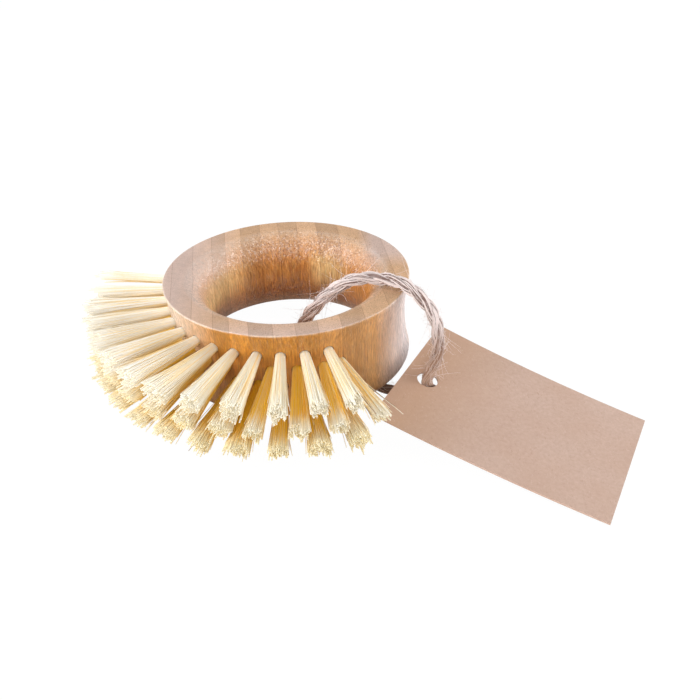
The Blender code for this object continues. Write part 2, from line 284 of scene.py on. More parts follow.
class Shape:
    """Tubes gathered into one mesh, with a value of each kind at every corner."""

    def __init__(self, *kinds):
        self.corners = []
        self.faces = []
        self.count = 0
        self.values = {kind: [] for kind in kinds}

    def add(self, corners, faces, **values):
        """Adds faces. A value is one number, or one for each corner."""
        self.corners.append(corners)
        self.faces += [tuple(corner + self.count for corner in face) for face in faces]
        self.count += len(corners)
        for kind, kept in self.values.items():
            kept.append(np.broadcast_to(values.get(kind, 0.0), len(corners)))

    def tube(self, line, radii, sides, frames=None, start=0.0, **values):
        """A closed tube. A value is one number, or one for each point of the line."""
        line = np.asarray(line, float)
        _, first, second = frames or lay_frames(line)
        radii = np.broadcast_to(radii, len(line))
        turns = start + np.arange(sides) * math.tau / sides
        ring = (np.cos(turns)[None, :, None] * first[:, None, :]
                + np.sin(turns)[None, :, None] * second[:, None, :])
        corners = (line[:, None, :] + ring * radii[:, None, None]).reshape(-1, 3)
        faces = []
        for step in range(len(line) - 1):
            for side in range(sides):
                here = step * sides + side
                beside = step * sides + (side + 1) % sides
                faces.append((here, beside, beside + sides, here + sides))
        faces.append(tuple(range(sides - 1, -1, -1)))
        last = (len(line) - 1) * sides
        faces.append(tuple(range(last, last + sides)))
        for kind, value in values.items():
            if np.shape(value) == (len(line),):
                values[kind] = np.repeat(value, sides)
        self.add(corners, faces, **values)

    def finish(self, name, look, smooth_angle=50):
        """Makes a piece of the shape, smooth where its faces meet at less than an angle in degrees."""
        mesh = bpy.data.meshes.new(name)
        mesh.from_pydata(np.concatenate(self.corners).tolist(), [], self.faces)
        for kind, kept in self.values.items():
            attribute = mesh.attributes.new(kind, "FLOAT", "POINT")
            attribute.data.foreach_set("value", np.concatenate(kept).astype(np.float32))
        mesh.shade_smooth()
        mesh.set_sharp_from_angle(angle=math.radians(smooth_angle))
        mesh.materials.append(look.material)
        return new_piece(name, mesh)


def new_piece(name, mesh):
    piece = bpy.data.objects.new(name, mesh)
    bpy.context.scene.collection.objects.link(piece)
    return piece


def settle(piece, body, slot, *nodes):
    """Puts a piece on its body and hides the solids that it stands for; slot, its finish, is not used.
    """
    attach(piece, body)
    if nodes:
        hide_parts(*nodes)


def cut(piece, form, smooth_angle):
    """Cuts a bmesh form out of a piece, applies its modifiers and smooths what is left."""
    mesh = bpy.data.meshes.new("cutter")
    form.to_mesh(mesh)
    form.free()
    cutter = new_piece("cutter", mesh)
    boolean = piece.modifiers.new("cut", "BOOLEAN")
    boolean.operation = "DIFFERENCE"
    boolean.solver = "EXACT"
    boolean.object = cutter
    graph = bpy.context.evaluated_depsgraph_get()
    shown = bpy.data.meshes.new_from_object(piece.evaluated_get(graph))
    piece.modifiers.clear()
    piece.data = shown
    bpy.data.objects.remove(cutter)
    shown.shade_smooth()
    shown.set_sharp_from_angle(angle=math.radians(smooth_angle))


# Ring

# Where the glued strips meet, in millimetres across them, and each strip's tone
SEAMS_MM = (-35, -29, -23, -18.7, -13.2, -6.8, -0.4, 5.9, 12.5, 19.2, 27, 32.2)
STRIP_TONES = (0.52, 0.49, 0.54, 0.46, 0.60, 0.44, 0.55, 0.48, 0.58, 0.42, 0.52, 0.47, 0.55)
STRIP_TURN = 0.13  # how far a seam runs sideways for each millimetre back
SEAM_WIDTH_MM = 0.14
LEAST_TONE_STEP = 0.005  # less than between any two neighbours
SPAN_MM = 80.0  # a little more than the ring is wide
EDGE_MM = 37.0  # where the top face meets the outer wall
EDGE_HIGHLIGHT_MM = 0.15

# The darkest and the palest streaks of each surface
PLAIN_WALL = (on_screen(168, 108, 54), on_screen(226, 176, 114))
GOLDEN_WALL = (on_screen(163, 95, 31), on_screen(219, 157, 68))
HOLE_WALL = (on_screen(166, 93, 34), on_screen(229, 161, 83))
# Painted light for the hole's walls at the left and right
HOLE_WALL_LIGHT = (on_screen(230, 175, 105), on_screen(252, 221, 160))
# The faces are paler than bare end grain by a painted reflection, the rose ones most
BROWN_FACE = (on_screen(190, 148, 114), on_screen(220, 184, 148))
ROSE_FACE_SHEEN = (on_screen(192, 165, 152), on_screen(220, 196, 184))
# What lies over them: a painted reflection, painted light and shade, cut fibres, a painted highlight and
# glue
WALL_SHEEN = on_screen(214, 206, 210)
LEFT_WALL_LIGHT = on_screen(232, 212, 194)
HOLE_SHADE = on_screen(120, 52, 12)
FOOT_SHADE = on_screen(116, 70, 40)
CUT_FIBRE = on_screen(128, 74, 36)
EDGE_HIGHLIGHT = on_screen(236, 212, 190)
GLUE = on_screen(120, 74, 42)


def strips(look, x, y):
    """Each glued strip's tone, and 1 on the thin lines where two strips meet."""
    across = look.math("MULTIPLY_ADD", y, STRIP_TURN, x)
    share = look.math("MULTIPLY_ADD", across, 1 / SPAN_MM, 0.5)
    stops = [(0.0, STRIP_TONES[0])]
    stops += [(seam / SPAN_MM + 0.5, tone) for seam, tone in zip(SEAMS_MM, STRIP_TONES[1:])]
    half_seam = SEAM_WIDTH_MM / 2 / SPAN_MM
    before = look.steps(look.math("SUBTRACT", share, half_seam), stops)
    after = look.steps(look.math("ADD", share, half_seam), stops)
    step = look.math("ABSOLUTE", look.math("SUBTRACT", before, after))
    return look.steps(share, stops), look.math("GREATER_THAN", step, LEAST_TONE_STEP)


def cut_fibres(look, place, outside, left):
    """How dark the dots are where fibres are cut: less on the outer wall and at the left."""
    cells = look.cells(look.stretch(place, (1.0, 1.0, 0.05)), 1.7, 0.9)
    dots = look.spread(cells, 0.14, 0.42, 1.0, 0.0)
    wander = look.noise(look.stretch(place, (0.25, 0.25, 0.02)), 1.0, 1.0)
    by_place = look.math("MULTIPLY", look.spread(outside, 0.0, 1.0, 0.8, 0.4),
                         look.spread(left, 0.0, 1.0, 1.0, 0.35))
    strength = look.math("MULTIPLY", look.spread(wander, 0.34, 0.6, 0.40, 0.95), by_place)
    return look.math("MULTIPLY", dots, strength)


def wall_colour(look, place, outside, inside, streaks):
    """The walls, with painted light and shade: golden in front, pale at the left and right, and darker
    low down.
    """
    x, y, z = look.split(place)
    contrast = look.spread(outside, 0.0, 1.0, 3.4, 1.9)
    brown = look.math("MULTIPLY_ADD", look.math("SUBTRACT", streaks, 0.5), contrast, 0.5, clamp=True)
    # Painted shade: the outer wall golden in front
    front = look.math("MULTIPLY", look.spread(y, -30.0, -14.0, 1.0, 0.0),
                      look.spread(x, 4.0, 24.0, 1.0, 0.0))
    wall = look.mix(look.math("MULTIPLY", front, outside), look.mix(brown, *PLAIN_WALL),
                    look.mix(brown, *GOLDEN_WALL))
    # Painted reflection: the right outer wall turns pale where it mirrors the white floor
    right = look.math("MULTIPLY", look.spread(x, 26.0, 37.0), look.spread(y, 8.0, -6.0, 0.0, 0.9))
    wall = look.mix(right, wall, WALL_SHEEN)
    # Painted light: the outer wall paler at the left, where the left lamps fall on it
    left = look.math("MULTIPLY", outside, look.spread(x, -18.0, -32.0, 0.0, 0.9))
    wall = look.mix(left, wall, LEFT_WALL_LIGHT)

    wall = look.mix(inside, wall, look.mix(brown, *HOLE_WALL))
    # Painted light: the hole's walls paler at the left and right, halfway down
    right = look.math("MULTIPLY", look.spread(x, 5.0, 9.0, 0.0, 0.8), look.spread(x, 20.0, 14.0))
    sides = look.math("MULTIPLY", inside, look.math("MAXIMUM", right, look.spread(x, -11.0, -22.0)))
    halfway = look.math("MULTIPLY", look.spread(z, -21.0, -12.0), look.spread(z, -4.0, -8.0))
    wall = look.mix(look.math("MULTIPLY", sides, halfway), wall, look.mix(brown, *HOLE_WALL_LIGHT))
    # Painted shade: darker low down in the hole
    low = look.math("MULTIPLY", look.spread(z, -26.0, -14.0, 0.85, 0.0), inside)
    wall = look.mix(low, wall, HOLE_SHADE)
    # Painted shade: the outer wall darker near the floor
    foot = look.math("MULTIPLY", look.spread(z, -26.9, -23.5, 0.5, 0.0), outside)
    return look.mix(foot, wall, FOOT_SHADE)


def face_colour(look, x, y, aside, streaks):
    """The level faces: brown, and rose at the left, in front and at the far right, both with a painted
    reflection.
    """
    share = look.spread(streaks, 0.3, 0.7)
    far = look.math("MULTIPLY", look.spread(x, 22.0, 27.0), look.spread(y, 2.0, 12.0))
    rose = look.math("MAXIMUM", aside, far)
    return look.mix(rose, look.mix(share, *BROWN_FACE), look.mix(share, *ROSE_FACE_SHEEN))


def bamboo_finish(look, place, level, streaks, relief):
    """A thin coat, broken into specks and worn off the level faces, and a fine relief."""
    speckle = look.noise(look.stretch(place, (1.0, 1.0, 0.3)), 1.4, 2.0, 0.6)
    glints = look.spread(speckle, 0.47, 0.57, 0.05, 0.9)
    look.drive("Coat Weight", look.math("MULTIPLY", glints, look.spread(level, 0.0, 1.0, 1.0, 0.05)))
    look.drive("Specular IOR Level", look.spread(level, 0.0, 1.0, 0.5, 0.15))
    look.drive("Roughness", look.math("MAXIMUM", look.spread(streaks, 0.3, 0.7, 0.36, 0.52),
                                      look.spread(level, 0.0, 1.0, 0.0, 0.65)))
    look.drive("Normal", look.bump(relief, 0.3, 0.0002))
    look.drive("Coat Normal", look.bump(look.math("ADD", relief, speckle), 0.7, 0.0004))


def bamboo_look():
    """Bamboo cut across its fibres: dots on the faces and fine upright streaks on the walls."""
    look = Look("bamboo", Coat_Roughness=0.2, Coat_IOR=1.9)
    place = look.place()
    x, y, z = look.split(place)
    out_from_axis = look.node("VectorMath", {0: look.stretch(place, (1.0, 1.0, 0.0))}, "Value",
                              operation="LENGTH")
    upright = look.math("ABSOLUTE", look.split(look.normal())[2])
    grain = look.noise(look.stretch(place, (1.0, 1.0, 0.12)), 2.4, 3.0, 0.7)
    streaks = look.noise(look.stretch(place, (1.0, 1.0, 0.02)), 3.2, 5.0, 0.7)
    clouds = look.noise(place, 0.09, 2.0)
    bands = look.noise(look.stretch(place, (1.0, 1.0, 0.06)), 0.55, 2.0, 0.55)

    outside = look.spread(out_from_axis, 31.0, 33.0)
    inside = look.spread(out_from_axis, 31.0, 29.0)
    left = look.spread(x, -8.0, -24.0)
    aside = look.math("MAXIMUM", look.spread(x, -32.0, -16.0, 1.0, 0.0),
                      look.spread(y, -36.0, -26.0, 0.8, 0.0))
    level = look.spread(upright, 0.93, 0.99)
    # Painted reflection: the faces' colour reaches further down the hole's left shoulder
    sheen_reach = look.math("MULTIPLY", look.math("MULTIPLY", left, inside), 0.28)
    flat = look.spread(look.math("ADD", upright, sheen_reach), 0.30, 0.92)

    colour = look.mix(flat, wall_colour(look, place, outside, inside, streaks),
                      face_colour(look, x, y, aside, streaks))
    tone, seam = strips(look, x, y)
    colour = look.mix(1.0, colour, look.spread(tone, 0.38, 0.62, 0.79, 1.17), "MULTIPLY")
    shade = look.math("MULTIPLY", look.spread(clouds, 0.3, 0.7, 0.92, 1.06),
                      look.spread(bands, 0.3, 0.7, 0.88, 1.09))
    colour = look.mix(look.spread(flat, 0.0, 1.0, 1.0, 0.6), colour, shade, "MULTIPLY")
    dots = cut_fibres(look, place, outside, left)
    colour = look.mix(dots, colour, CUT_FIBRE)
    # Painted highlight: a thin pale line along the top's outer edge, broken in places
    edge = look.math("MULTIPLY", look.spread(out_from_axis, EDGE_MM, EDGE_MM + EDGE_HIGHLIGHT_MM),
                     look.spread(z, -0.6, -0.35))
    highlight_breaks = look.spread(look.noise(place, 0.22, 3.0, 0.6), 0.42, 0.66, 0.0, 0.6)
    colour = look.mix(look.math("MULTIPLY", edge, highlight_breaks), colour, EDGE_HIGHLIGHT)
    smooth = look.math("MULTIPLY", flat, look.math("MAXIMUM", aside, left))
    colour = look.mix(look.spread(smooth, 0.0, 1.0, 1.0, 0.35), colour,
                      look.spread(grain, 0.3, 0.7, 0.76, 1.23), "MULTIPLY")
    colour = look.mix(look.math("MULTIPLY", seam, 0.4), colour, GLUE)
    look.drive("Base Color", colour)
    relief = look.math("SUBTRACT", grain, look.math("MULTIPLY", dots, 0.8))
    bamboo_finish(look, place, level, streaks, relief)
    return look


def wall_radius(depth):
    """The outer wall's radius at a depth under the top face."""
    from_middle = 2 * depth / RING_HEIGHT - 1
    waist = WAIST_DEPTH * (1 - from_middle**2)
    return RING_RADIUS + FOOT_FLARE * depth / RING_HEIGHT - waist


def quarter(radius, depth, size, start, steps):
    """A quarter turn of an edge's rounding, as (radius, height) points."""
    turns = np.linspace(start, start - math.pi / 2, steps + 1)
    return [(radius + size * math.cos(a), -depth + size * math.sin(a)) for a in turns]


def ring_profile():
    """The ring's section as (radius, height) points, down the outer wall and up the hole."""
    top_inner = RING_RADIUS - FACE_WIDTH
    foot_inner = top_inner + FOOT_FLARE
    hole = RING_RADIUS - RING_WALL
    low = RING_HEIGHT - FOOT_ROUNDING
    edge = wall_radius(TOP_ROUNDING)
    points = [(radius, 0.0) for radius in np.linspace(top_inner, edge - TOP_ROUNDING, 5)[:-1]]
    points += quarter(edge - TOP_ROUNDING, TOP_ROUNDING, TOP_ROUNDING, math.pi / 2, 5)
    points += [(wall_radius(depth), -depth) for depth in np.linspace(TOP_ROUNDING, low, 25)[1:-1]]
    points += quarter(wall_radius(low) - FOOT_ROUNDING, low, FOOT_ROUNDING, 0.0, 6)
    half = RING_HEIGHT / 2
    for turn in np.linspace(-math.pi / 2, math.pi / 2, 41)[:-1]:
        inner = foot_inner if turn < 0 else top_inner
        radius = inner - (inner - hole) * math.cos(turn)
        points.append((radius, -half + half * math.sin(turn)))
    return points


def tuft_placements():
    """Each tuft's row, number, length, tip radius and matrix to the ring's frame, +Z outwards."""
    for row, (name, lead, depth_share, slope, length_share) in enumerate(ROWS):
        depth = depth_share * RING_HEIGHT
        for number in range(TUFTS_PER_ROW):
            angle = FIRST_TUFT_ANGLE + lead - TUFT_STEP * number
            outwards = Vector((math.cos(angle), math.sin(angle), 0.0))
            sideways = Vector((-math.sin(angle), math.cos(angle), 0.0))
            up = Vector((0.0, 0.0, 1.0))
            fall = math.radians(slope)
            length = TUFT_LENGTH * length_share
            stray = STRAYS_MM.get((name, number), (0.0, 0.0, 0.0, 0.0, TIP_RADIUS_MM))
            root = outwards * wall_radius(depth) - up * depth
            tip = root + (outwards * math.cos(fall) - up * math.sin(fall)) * length
            root += sideways * stray[0] * MM
            tip += (sideways * stray[1] + up * stray[2] + outwards * stray[3]) * MM
            along = (tip - root).normalized()
            turn = Quaternion(along, number * TUFT_TWIST) @ along.to_track_quat("Z", "Y")
            yield row, number, (tip - root).length, stray[4] * MM, Matrix.LocRotScale(root, turn, None)


SOCKET_RADIUS = 0.00166
SOCKET_DEPTH = 0.0074
SOCKET_SIDES = 28
CUT_OVERRUN = 0.004  # how far a cutter stands out of what it cuts
RING_STEPS = 288
RING_SMOOTH_ANGLE = 38


def make_ring(look):
    """The turned ring, with a socket for each tuft."""
    profile = ring_profile()
    corners = []
    for step in range(RING_STEPS):
        turn = math.tau * step / RING_STEPS
        corners += [(r * math.cos(turn), r * math.sin(turn), z) for r, z in profile]
    count = len(profile)
    faces = []
    for step in range(RING_STEPS):
        here = step * count
        there = (step + 1) % RING_STEPS * count
        for spot in range(count):
            beside = (spot + 1) % count
            faces.append((here + spot, here + beside, there + beside, there + spot))
    mesh = bpy.data.meshes.new("ring")
    mesh.from_pydata(corners, [], faces)
    mesh.materials.append(look.material)
    ring = new_piece("ring", mesh)

    sockets = bmesh.new()
    middle = Matrix.Translation((0.0, 0.0, (CUT_OVERRUN - SOCKET_DEPTH) / 2))
    for _, _, _, _, place in tuft_placements():
        bmesh.ops.create_cone(sockets, cap_ends=True, segments=SOCKET_SIDES, radius1=SOCKET_RADIUS,
                              radius2=SOCKET_RADIUS, depth=CUT_OVERRUN + SOCKET_DEPTH,
                              matrix=place @ middle)
    cut(ring, sockets, RING_SMOOTH_ANGLE)
    ring.matrix_world = RING_FRAME
    settle(ring, "brush", "bamboo", "ring_handle")


# Bristles

TUFT_SEED = 1000
ROOT_RADIUS = 0.00145
WIDENING = 0.95  # 1 is a straight cone
OVALNESS = (0.90, 1.04)
BULGE_SHARE = 0.08
BULGE_WAVES = (2, 3, 4, 6)
CLUMP_HEIGHT = 0.0007
CLUMP_WAVES = (1, 2, 3, 5)
STEEPEST_CUT = 0.9  # a sine
SEATED = -0.0025  # how low strands start in their socket
CORE_SHARE = 0.9
CORE_SIDES = 24
CORE_SINK = 0.0013  # how far the core stays below the cut
STRAND_SIDES = 6
STRAND_BOW = 0.0001
SWELL_SHARE = 0.4  # how much thicker a strand is at its tip
SHELL_STRANDS = 46
SHELL_RADII = (0.000115, 0.000145)
SHELL_CUT = (-0.0004, 0.0007)  # where strands end past the cut, and how unevenly
SHELL_FLARE = 0.00034
INNER_STRANDS = 120
INNER_RADII = (0.00009, 0.00012)
INNER_CUT = (-0.0004, 0.00075)
STRAY_STRANDS = 9
STRAY_RADIUS = 0.00006
STRAY_REACHES = (0.8, 1.01)
STRAY_FLARES = (0.0003, 0.0015)
GOLDEN_TURN = math.pi * (3 - math.sqrt(5))
# Painted shade: how golden each row is, the lower rows lying in the upper row's shade
GOLDEN_SHADE_SHARES = (0.0, 0.72, 0.84)  # how golden each row is
FIRST_GOLDEN_SHADE_SHARE = 0.3  # the first tufts stand in the light
# Strands that stand off on their own: where along its tuft each leaves it, how far its tip is
# sideways, up and outwards from the tuft's, in millimetres, its radius and its tone, below 0 for
# a brown one
LOOSE_STRANDS = {
    ("middle", 0): ((0.35, 4.8, 1.2, 2.4, 0.09, 1.0), (0.40, 4.0, 1.6, -0.3, 0.13, -1.0),
                    (0.45, 3.6, 2.2, 0.2, 0.07, 0.8)),
    ("upper", 0): ((0.55, 3.2, -2.0, 2.4, 0.10, -1.0), (0.50, 4.4, -1.7, 3.0, 0.09, -1.0)),
    ("upper", 1): ((0.55, 2.7, -0.9, 0.3, 0.08, -1.0),),
    ("lower", 4): ((0.60, -2.4, -1.4, 1.4, 0.07, -1.0),),
}
ON_TABLE = 0.0003  # how low a strand or a hair can lie


def fibre_look():
    """Stiff plant fibre: cream where light falls on it, with painted shade in amber between fibres and
    near the wall, and painted light on the left tufts and the tips.
    """
    look = Look("fibre", Roughness=0.6, Specular_IOR_Level=0.2)
    tone = look.value("tone")
    amber = look.value("amber")
    along = look.value("along")
    place = look.place()
    x, _, height = look.split(place)
    speck = look.noise(place, 1.1, 3.0, 0.6)
    straw = look.mix(tone, on_screen(242, 235, 213), on_screen(249, 247, 238))
    # Painted light: the tufts at the left paler, both cream and gold
    left = look.spread(x, -5.0, -30.0)
    straw = look.mix(left, straw, on_screen(255, 252, 246))
    colour = look.mix(look.spread(speck, 0.45, 0.75, 0.0, 0.22), straw, on_screen(254, 232, 164))
    golden = look.mix(left, on_screen(255, 206, 58), on_screen(255, 216, 104))
    # Painted shade: golden where the amber value says
    colour = look.mix(amber, colour, golden)
    # Painted light: the tips paler, the higher ones most
    tips = look.mix(look.spread(height, 11.0, 16.0), on_screen(255, 242, 198), on_screen(255, 251, 238))
    colour = look.mix(look.spread(along, 0.78, 1.0, 0.0, 0.5), colour, tips)
    colour = look.mix(look.math("LESS_THAN", tone, -0.5), colour, on_screen(138, 108, 70))
    look.drive("Base Color", colour)
    look.drive("Normal", look.bump(speck, 0.15, 0.0001))
    return look


def waves(draw, size, numbers):
    """Waves round a tuft as (size, turn, number) rows, each up to a size."""
    return [(draw.uniform(0.3, 1.0) * size, draw.uniform(0, math.tau), number) for number in numbers]


def wave_sum(rows, angle):
    """What the waves add at an angle."""
    return sum(size * math.cos(number * angle + turn) for size, turn, number in rows)


class Bundle:
    """The outline of one tuft: round where it leaves the wall, uneven and wide at the tips."""

    def __init__(self, length, tip_radius, up, draw):
        self.length = length
        self.tip_radius = tip_radius
        self.up = np.array(up[:2])
        self.slant = math.tan(math.asin(max(-STEEPEST_CUT, min(STEEPEST_CUT, up[2]))))
        self.flat = draw.uniform(*OVALNESS)
        self.flat_turn = draw.uniform(0, math.pi)
        self.bulges = waves(draw, BULGE_SHARE, BULGE_WAVES)
        self.clumps = waves(draw, CLUMP_HEIGHT, CLUMP_WAVES)

    def radius(self, angle, out):
        """How far its surface is from its axis, at a share of its length."""
        width = ROOT_RADIUS + (self.tip_radius - ROOT_RADIUS) * np.clip(out, 0.0, None) ** WIDENING
        oval = 1.0 + (self.flat - 1.0) * math.cos(2 * (angle - self.flat_turn))
        uneven = wave_sum(self.bulges, angle)
        return width * (1.0 + (oval - 1.0 + uneven) * np.clip(out, 0.0, 1.0))

    def reach(self, angle, share):
        """Where its strands are cut, at an angle and a share of its radius."""
        side = np.array((math.cos(angle), math.sin(angle))) * share * self.tip_radius
        return self.length + share * wave_sum(self.clumps, angle) - self.slant * float(side @ self.up)


def strand_golden_shade(out, facing, upwards, amber, draw):
    """How much painted shade, in gold, a strand has: most near the wall, between strands and on a tuft's
    underside.
    """
    depth = 0.35 + 0.3 * amber
    between = np.clip((0.8 - facing) / 0.8, 0.0, 1.0) * depth
    fade = np.clip((1.0 - out) / (0.35 - 0.15 * amber), 0.0, 1.0)[:, None]
    own = max(0.0, draw.gauss(0.0, 0.6 * depth))
    under = 0.42 * max(0.0, 0.1 - upwards)
    amber *= 0.8 + 0.3 * upwards
    return np.clip((amber + under) * fade + (between + own + 0.3 * under) * (0.3 + 0.7 * fade), 0.0, 1.0)


def add_strand(shape, bundle, angle, share, heights, thick, amber, draw, flare=0.0, tone=None):
    """One strand at an angle and a share of its tuft's radius, paler where it faces outwards and with
    painted shade where it faces into the tuft.
    """
    out = np.clip(heights / bundle.length, 0.0, None)
    side = np.array((math.cos(angle), math.sin(angle)))
    bow = np.array((draw.gauss(0, 1), draw.gauss(0, 1))) * STRAND_BOW
    thicks = thick * (1.0 + SWELL_SHARE * out)
    away = bundle.radius(angle, out) * share - thicks * share + flare * out**3
    offsets = side * away[:, None] + bow * np.sin(math.pi * np.clip(out, 0, 1))[:, None]
    line = np.column_stack([offsets, heights])
    frames = lay_frames(line)
    start = draw.uniform(0, 1)
    turns = start + np.arange(STRAND_SIDES) * math.tau / STRAND_SIDES
    facing = (np.cos(turns)[None, :] * (frames[1][:, :2] @ side)[:, None]
              + np.sin(turns)[None, :] * (frames[2][:, :2] @ side)[:, None])
    deep = strand_golden_shade(out, facing, float(side @ bundle.up), amber, draw)
    shape.tube(line, thicks, STRAND_SIDES, frames=frames, start=start,
               tone=draw.random() if tone is None else tone, amber=deep.ravel(), along=out)


def add_core(shape, bundle, amber):
    """The closed body that fills a tuft behind its strands."""
    turns = np.arange(CORE_SIDES) * math.tau / CORE_SIDES
    levels = np.concatenate([[SEATED], np.linspace(0.0, 0.98, 7) * bundle.length])
    corners = []
    for level in levels:
        for turn in turns:
            last = level == levels[-1]
            height = bundle.reach(turn, CORE_SHARE) - CORE_SINK if last else level
            away = bundle.radius(turn, height / bundle.length) * CORE_SHARE
            corners.append((away * math.cos(turn), away * math.sin(turn), height))
    top = len(corners) - CORE_SIDES
    sides = [(side, (side + 1) % CORE_SIDES) for side in range(CORE_SIDES)]
    faces = [(low + side, low + beside, low + CORE_SIDES + beside, low + CORE_SIDES + side)
             for low in range(0, top, CORE_SIDES) for side, beside in sides]
    faces += [(beside, side, len(corners)) for side, beside in sides]
    faces += [(top + side, top + beside, len(corners) + 1) for side, beside in sides]
    corners += [(0.0, 0.0, SEATED), (0.0, 0.0, bundle.length - CORE_SINK)]
    corners = np.array(corners)
    # Painted shade: the core golden, most deep in the tuft
    depth = np.clip((1.0 - corners[:, 2] / bundle.length) / 0.3, 0.0, 1.0)
    shape.add(corners, faces, tone=0.3, amber=np.clip((amber + 0.35) * depth + 0.1, 0, 1), along=0.5)


def tuft_shape(length, tip_radius, up, amber, loose, draw):
    """One tuft in its own frame: a shell of strands round a core, with every tip showing."""
    shape = Shape("tone", "amber", "along")
    bundle = Bundle(length, tip_radius, up, draw)
    add_core(shape, bundle, amber)
    for number in range(SHELL_STRANDS):
        angle = math.tau * (number + draw.uniform(-0.25, 0.25)) / SHELL_STRANDS
        reach = bundle.reach(angle, 1.0) + draw.gauss(*SHELL_CUT)
        heights = np.concatenate([[SEATED], np.linspace(0.0, 1.0, 7) * reach])
        flare = max(0.0, draw.gauss(0.0, SHELL_FLARE))
        add_strand(shape, bundle, angle, draw.uniform(0.97, 1.0), heights,
                   draw.uniform(*SHELL_RADII), amber, draw, flare)
    for number in range(INNER_STRANDS):
        share = 0.93 * math.sqrt((number + 0.5) / INNER_STRANDS)
        angle = number * GOLDEN_TURN + draw.uniform(-0.3, 0.3)
        reach = bundle.reach(angle, share) + draw.gauss(*INNER_CUT)
        heights = np.linspace(0.88, 1.0, 3) * reach
        add_strand(shape, bundle, angle, share, heights, draw.uniform(*INNER_RADII), 0.0, draw)
    sideways = np.array((bundle.up[1], -bundle.up[0]))
    for start, aside, rise, further, thick, tone in loose:
        tip = np.append((sideways * aside + bundle.up * rise) * MM, length + further * MM)
        foot = np.append(tip[:2] * 0.3, length * start)
        line = [foot + (tip - foot) * t for t in np.linspace(0, 1, 5)]
        shape.tube(line, thick * MM, 5, tone=tone, amber=0.1, along=0.5)
    for _ in range(STRAY_STRANDS):
        angle = draw.uniform(0, math.tau)
        heights = np.linspace(0.05, 1.0, 7) * (length * draw.uniform(*STRAY_REACHES))
        add_strand(shape, bundle, angle, 1.0, heights, STRAY_RADIUS, 0.1 + 0.7 * amber, draw,
                   flare=draw.uniform(*STRAY_FLARES), tone=draw.random())
    return shape


def make_bristles(look):
    for row, number, length, tip_radius, place in tuft_placements():
        name = ROWS[row][0]
        draw = random.Random(TUFT_SEED + row * 100 + number)
        up = place.to_3x3().inverted() @ Vector((0.0, 0.0, 1.0))
        amber = GOLDEN_SHADE_SHARES[row] * (FIRST_GOLDEN_SHADE_SHARE if number == 0 else draw.uniform(0.8, 1.1))
        loose = LOOSE_STRANDS.get((name, number), ())
        shape = tuft_shape(length, tip_radius, up, amber, loose, draw)
        piece = shape.finish(f"bristles_{name}_{number + 1:02d}", look)
        piece.data.transform(RING_FRAME @ place)
        for corner in piece.data.vertices:
            corner.co.z = max(corner.co.z, ON_TABLE)
        settle(piece, "brush", "fibre", f"tuft_{name}_{number + 1:02d}")


# Twine

PLY_RADIUS = 0.00078
PLY_OFFSET = 0.00084
PLY_SIDES = 10
LAY_LENGTH = 0.0165
FIBRES = 20
FIBRE_RADIUS = 0.00015
FIBRE_SIDES = 5
TWINE_POINTS = 420
TWINE_SEED = 7
FUZZ_SEED = 11
FUZZ_HAIRS = 850
FUZZ_ROOT = 0.0016  # from the twine's middle
FUZZ_REACHES = (0.0005, 0.0015, 0.007)  # the least, what is usual beyond it, and the most
FUZZ_RADII = (0.00005, 0.00002)
KNOT_SEED = 5
KNOT_TURNS = 1.75
KNOT_RADIUS = 0.0021
KNOT_SCALE = 0.82  # how thick the twine is in it
TAIL_ANGLES = (-75, -20)
TAIL_LENGTH = 0.0094
TAIL_LOW = 0.0018
TAIL_DROP = 0.0037
TAIL_SCALE = 0.8
# Where loose ends stand off in number, and how many
FRAYED_PLACES = (((0.0133, -0.0106, 0.0283), 90), ((0.0432, -0.0194, 0.0271), 50),
                 ((0.0449, -0.0240, 0.0170), 25))


def smooth_route(route, count):
    """Evenly spaced points on a smooth curve through the route's points."""
    points = np.array(route, float)
    points = np.vstack([2 * points[0] - points[1], points, 2 * points[-1] - points[-2]])
    fine = []
    for a, b, c, d in zip(points, points[1:], points[2:], points[3:]):
        for t in np.linspace(0, 1, 24, endpoint=False):
            bend = (2 * a - 5 * b + 4 * c - d) * t**2 + (3 * b - a - 3 * c + d) * t**3
            fine.append((2 * b + (c - a) * t + bend) / 2)
    fine.append(points[-2])
    fine = np.array(fine)
    along = np.concatenate([[0], np.cumsum(np.linalg.norm(np.diff(fine, axis=0), axis=1))])
    places = np.linspace(0, along[-1], count)
    even = np.column_stack([np.interp(places, along, fine[:, axis]) for axis in range(3)])
    return even, along[-1]


def jute_look():
    """Jute: streaks along each fibre, browner where it is warm, and painted shadow where it runs under
    the ring.
    """
    look = Look("jute", Roughness=0.8, Sheen_Weight=0.3, Sheen_Roughness=0.5)
    tone = look.value("tone")
    warm = look.value("warm")
    scales = ((tone, 40.0), (warm, 3.0), (look.value("along_mm"), 0.22))
    place = [look.math("MULTIPLY", value, scale) for value, scale in scales]
    streak = look.noise(look.node("CombineXYZ", dict(enumerate(place))), 1.0, 3.0, 0.6)
    fine = look.noise(look.place(), 2.6, 3.0, 0.65)
    shade = look.math("MULTIPLY_ADD", tone, 0.55, look.math("MULTIPLY", streak, 0.45))
    colour = look.mix(look.spread(shade, 0.08, 0.5), on_screen(118, 92, 84), on_screen(241, 228, 225))
    colour = look.mix(look.spread(fine, 0.52, 0.75, 0.0, 0.4), colour, on_screen(194, 168, 156))
    colour = look.mix(look.math("MULTIPLY", warm, 0.75, clamp=True), colour, on_screen(172, 130, 98))
    # Painted shadow: the twine darkest where it runs under the ring
    colour = look.mix(look.spread(warm, 1.0, 1.6, 0.0, 0.8), colour, on_screen(96, 66, 52))
    look.drive("Base Color", colour)
    look.drive("Normal", look.bump(fine, 0.4, 0.0002))
    return look


